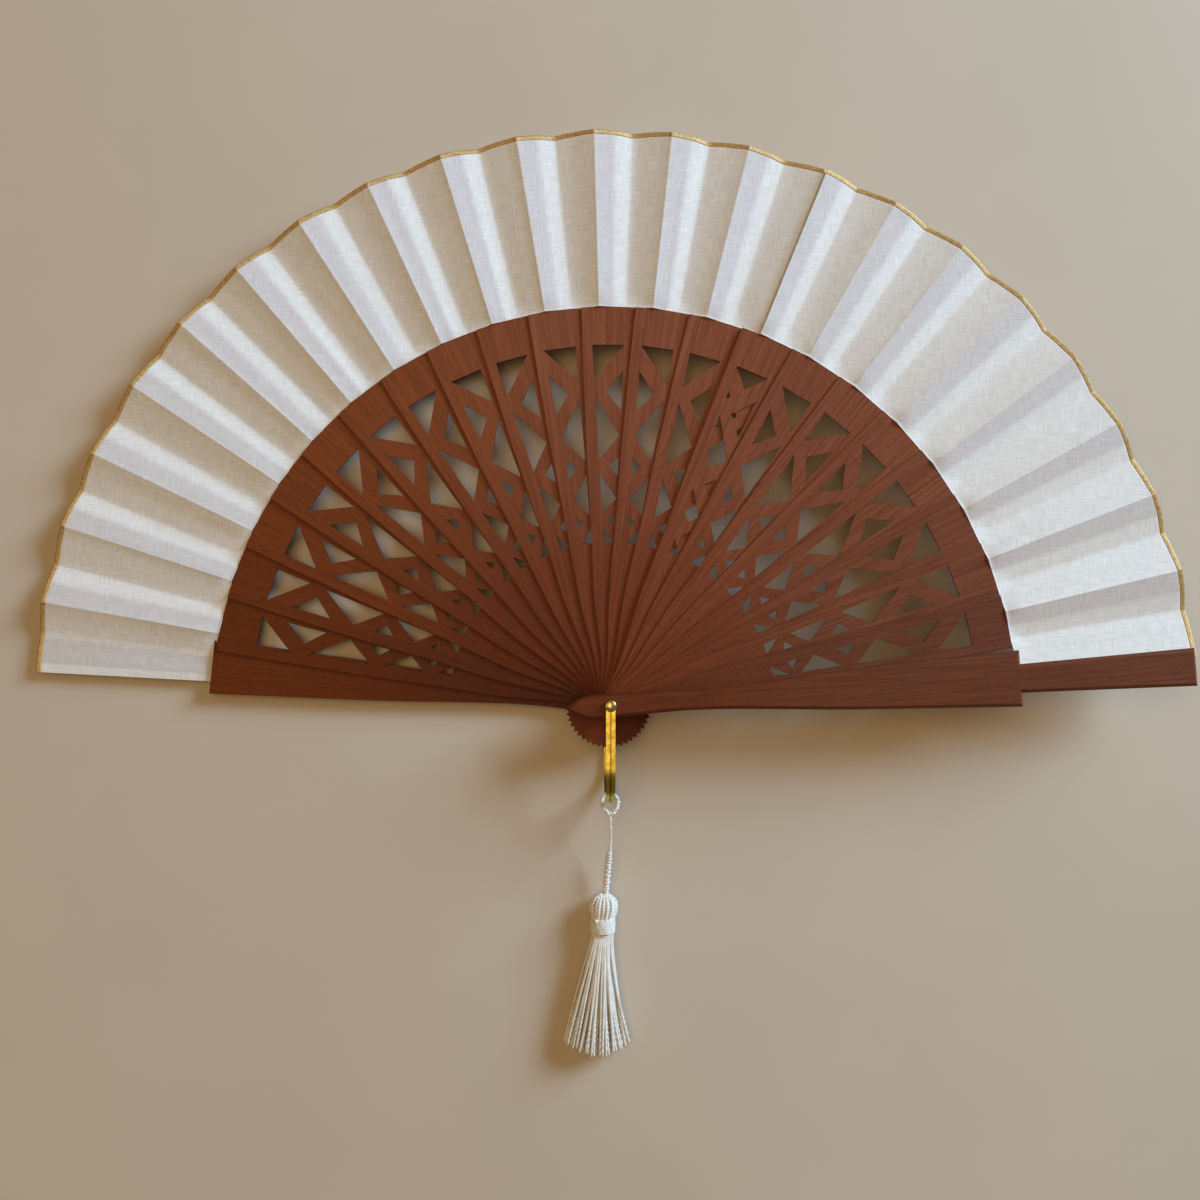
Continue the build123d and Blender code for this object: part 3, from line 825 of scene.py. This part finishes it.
def make_head(thread):
    """Threads that come down from the cord over a ball and go in under the binding."""
    draw = random.Random(11)
    points = []
    faces = []
    outline = [(-0.3, 0.9), (0.5, 2.6), (1.7, 4.2), (3.7, 4.75), (5.7, 4.6), (7.4, 4.0), (9.4, 3.6)]
    strands = 24
    for i in range(strands):
        angle = 2 * math.pi * (i + draw.uniform(-0.25, 0.25)) / strands
        twist = draw.uniform(0.1, 0.3)
        swell = draw.uniform(0.97, 1.05)
        route = []
        for step, (distance, radius) in enumerate(outline):
            turned = angle + twist * step / len(outline)
            reach = radius * swell * MM
            aside, above = reach * math.cos(turned), reach * math.sin(turned)
            route.append(tassel_place(distance * MM, aside, above))
        line = curve_points(route, 8)
        outline_at = two_ply(0.74 * MM, line_length(line), 2.6 * MM, draw.uniform(0, 3))
        add_tube(points, faces, line, outline_at)
    core = [tassel_place(distance * MM, 0, 0) for distance in (0.4, 1.2, 2.1, 3.4, 4.7, 6, 7.5, 9)]
    core_radii = (0.6, 2.0, 3.2, 4.2, 4.35, 4.1, 3.7, 3.4)

    def core_radius(share, _):
        return core_radii[round(share * (len(core) - 1))] * MM

    add_tube(points, faces, core, core_radius, sides=20)
    return tassel_piece("tassel_head_threads", "tassel_head", points, faces, thread)


def make_binding(thread):
    """A thread wound round the tassel's neck, with its end tucked in as a small knot."""
    points = []
    faces = []
    turns = 8
    steps = turns * 40
    path = []
    for i in range(steps + 1):
        share = i / steps
        angle = 2 * math.pi * turns * share
        waist = 4.15 * MM + 0.25 * MM * math.sin(math.pi * share)
        distance = BINDING_START + 0.35 * MM + (BINDING_LENGTH - 0.7 * MM) * share
        path.append(tassel_place(distance, waist * math.cos(angle), waist * math.sin(angle)))
    add_tube(points, faces, path, two_ply(0.52 * MM, line_length(path), 1.7 * MM))
    knot = []
    knot_turns = 2
    knot_steps = 24
    for i in range(knot_steps + 1):
        share = i / knot_steps
        angle = 2 * math.pi * knot_turns * share
        reach = 0.45 * MM * (1 - 0.3 * share)
        along = BINDING_START + 0.7 * MM + reach * math.cos(angle)
        aside = -2.9 * MM + 0.72 * MM * share
        knot.append(tassel_place(along, aside, 3.7 * MM + reach * math.sin(angle)))
    add_tube(points, faces, knot, two_ply(0.55 * MM, line_length(knot), 1.4 * MM))
    return tassel_piece("tassel_binding_thread", "tassel_binding", points, faces, thread)


def make_skirt(thread):
    """The skirt's threads, lying flat: packed at the neck and fanned out towards their ends."""
    draw = random.Random(5)
    points = []
    faces = []
    layers = [(-0.75, 15), (-0.3, 18), (0.2, 19), (0.65, 18)]
    for height, count in layers:
        for i in range(count):
            across = (i + 0.5 + draw.uniform(-0.35, 0.35)) / count * 2 - 1
            top_width = math.sqrt(1 - height * height) * SKIRT_TOP_RADIUS
            top_height = height * SKIRT_TOP_RADIUS
            end_side = (across * 12.6 - 0.7 + draw.uniform(-0.5, 0.5)) * MM
            crown = math.sqrt(1 - across * across)
            end_height = (-2.9 + (height + 0.75) * (0.8 + 3.6 * crown) + draw.uniform(-0.2, 0.3)) * MM
            reach = SKIRT_END - 4.4 * MM * across * across - abs(draw.gauss(0, 0.6)) * MM
            bow = draw.uniform(-0.9, 0.9) * MM
            route = []
            for share in (0, 0.12, 0.3, 0.5, 0.72, 1):
                spread = share ** (1.4 + 0.2 * across)
                arch = math.sin(math.pi * share)
                route.append(
                    tassel_place(
                        SKIRT_START + (reach - SKIRT_START) * share,
                        across * top_width * (1 - spread) + end_side * spread + bow * arch,
                        top_height * (1 - share) + end_height * share + crown * 0.9 * MM * arch,
                    )
                )
            line = curve_points(route, 22)
            outline_at = two_ply(0.58 * MM, line_length(line), 2.4 * MM, draw.uniform(0, 3))
            add_tube(points, faces, line, outline_at)
    return tassel_piece("tassel_skirt_threads", "tassel_skirt", points, faces, thread)


def make_tassel():
    thread = thread_surface()
    line = curve_points(CORD_POINTS, 50)
    loop_line = curve_points(LOOP_POINTS, 14)
    cord = rope_piece("tassel_cord_rope", "tassel_cord", line, CORD_STRANDS, thread)
    loop = rope_piece("tassel_loop_rope", "tassel_loop", loop_line, LOOP_STRANDS, thread)
    pieces = [loop, make_head(thread), make_binding(thread), make_skirt(thread)]


# ---------------------------------------------------------------- the room


def make_floor():
    signs = [(-1, -1), (1, -1), (1, 1), (-1, 1)]
    corners = [(x * FLOOR_REACH, y * FLOOR_REACH, FLOOR_HEIGHT) for x, y in signs]
    floor = new_piece("floor", corners, [(0, 1, 2, 3)], floor_surface(), smooth=False)


def area_light(name, place, aim, size, power, colour):
    data = bpy.data.lights.new(name, "AREA")
    data.shape = "SQUARE"
    data.size = size
    data.energy = power
    data.color = colour
    light = bpy.data.objects.new(name, data)
    light.location = place
    light.rotation_euler = (Vector(aim) - Vector(place)).to_track_quat("-Z", "Y").to_euler()
    bpy.context.scene.collection.objects.link(light)


def make_lights():
    """A cool window low at the right, and warm light from the ceiling and the room."""
    area_light("window", WINDOW_PLACE, WINDOW_AIM, WINDOW_SIZE, WINDOW_POWER, WINDOW_COLOUR)
    area_light("ceiling", CEILING_PLACE, CEILING_AIM, CEILING_SIZE, CEILING_POWER, CEILING_COLOUR)
    world = bpy.data.worlds.new("studio")
    world.use_nodes = True
    background = world.node_tree.nodes["Background"]
    background.inputs[0].default_value = (*ROOM_COLOUR, 1)
    background.inputs[1].default_value = ROOM_STRENGTH
    bpy.context.scene.world = world
    bpy.context.scene.view_settings.view_transform = "Standard"


def make_camera():
    data = bpy.data.cameras.new("camera")
    data.lens = CAMERA_LENS
    data.sensor_width = 36
    camera = bpy.data.objects.new("camera", data)
    ahead = (CAMERA_AIM - CAMERA_PLACE).normalized()
    right = ahead.cross(Vector((0, 1, 0))).normalized()
    up = right.cross(ahead)
    turn = Matrix((right, up, -ahead)).transposed()
    camera.matrix_world = Matrix.Translation(CAMERA_PLACE) @ turn.to_4x4()
    bpy.context.scene.collection.objects.link(camera)
    bpy.context.scene.camera = camera


make_camera()
make_tassel()
make_leaf()
dress_sticks()
dress_metal()
make_floor()
make_lights()
